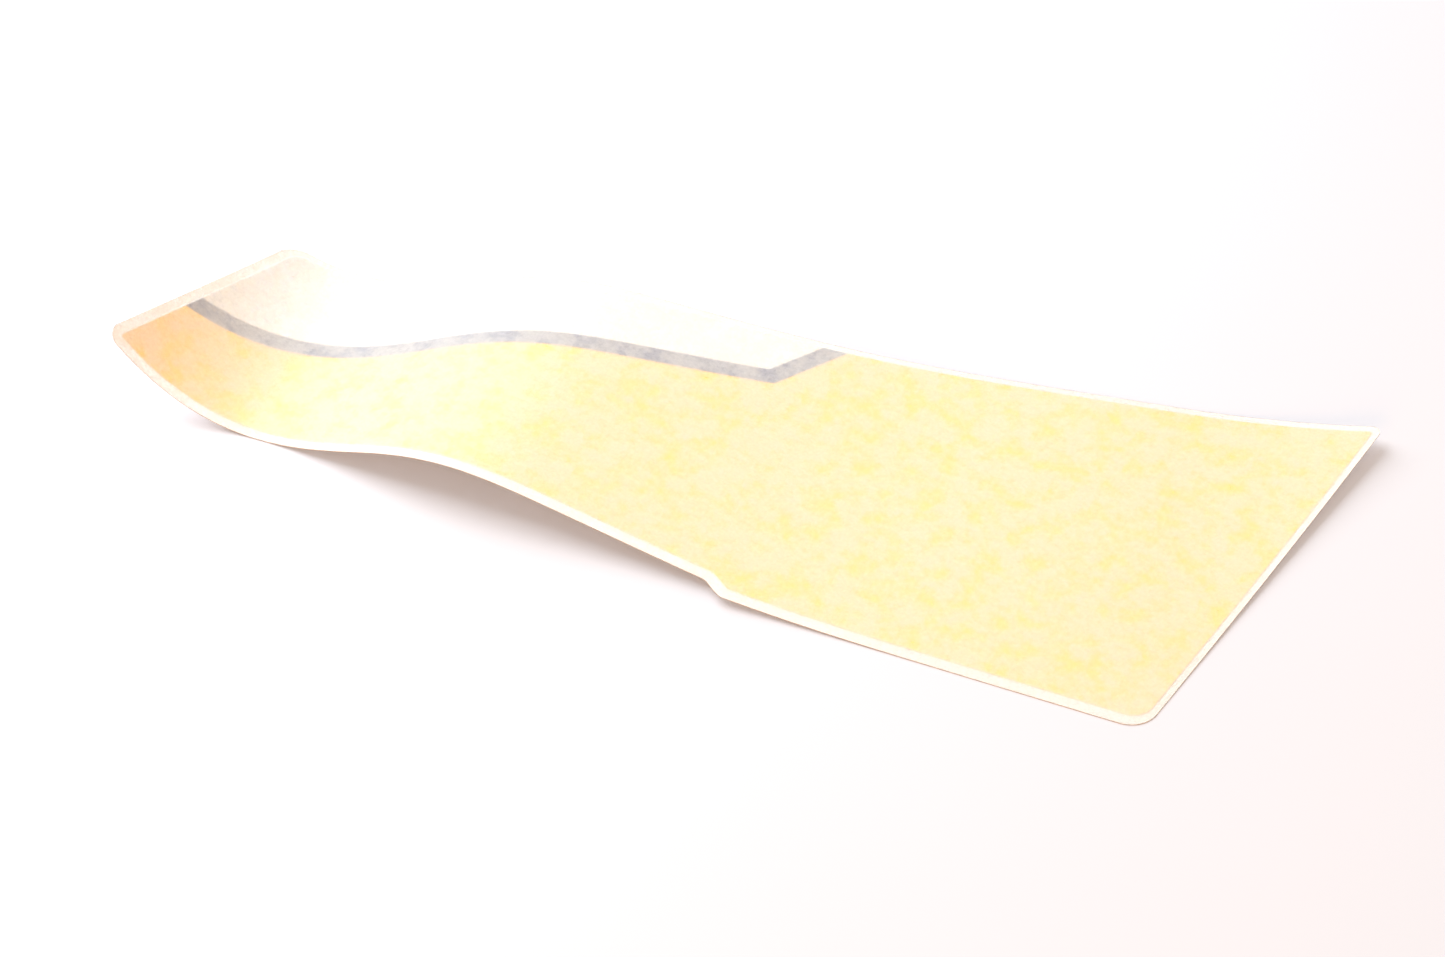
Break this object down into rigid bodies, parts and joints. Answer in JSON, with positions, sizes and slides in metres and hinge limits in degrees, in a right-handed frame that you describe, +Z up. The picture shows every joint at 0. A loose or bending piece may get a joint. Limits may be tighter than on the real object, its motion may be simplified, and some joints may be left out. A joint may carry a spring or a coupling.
{
  "type": "premasked transfer decal",
  "caption": "Thin tapered self-adhesive decal on a release liner under translucent application paper, with a yellow field and a kinked grey stripe, lying curled at its narrow end.",
  "frame": {"origin": "centre of the bounding box at the height of the surface the decal lies on", "axes": "+X along the near edge from the narrow, curled end to the wide end, +Y across the sheet to the far edge, +Z up, away from the liner"},
  "size_m": [0.362, 0.1394, 0.029],
  "materials": {
    "liner_paper": "matt paper with a brown cut edge",
    "release_coat": "smooth silicone coat",
    "adhesive": "clear pressure-sensitive adhesive",
    "white_film": "white cast vinyl",
    "yellow_ink": "screen-printed yellow",
    "grey_ink": "screen-printed grey",
    "overlay": "clear gloss overlay",
    "tack_coat": "low-tack adhesive",
    "premask_paper": "translucent, clouded application paper"
  },
  "bodies": {
    "liner": {"liner_paper": "liner_paper", "liner_release_coat": "release_coat"},
    "decal": {"adhesive_layer": "adhesive", "base_film": "white_film", "yellow_print_panel": "yellow_ink", "grey_print_stripe": "grey_ink", "clear_overlay": "overlay"},
    "premask": {"premask_tack_coat": "tack_coat", "premask_paper": "premask_paper"}
  },
  "joints": [
    {"name": "decal_lift", "type": "slide", "parent": "liner", "child": "decal", "axis": [0, 0, 1], "range_m": [0, 0.06]},
    {"name": "premask_lift", "type": "slide", "parent": "decal", "child": "premask", "axis": [0, 0, 1], "range_m": [0, 0.06]}
  ]
}
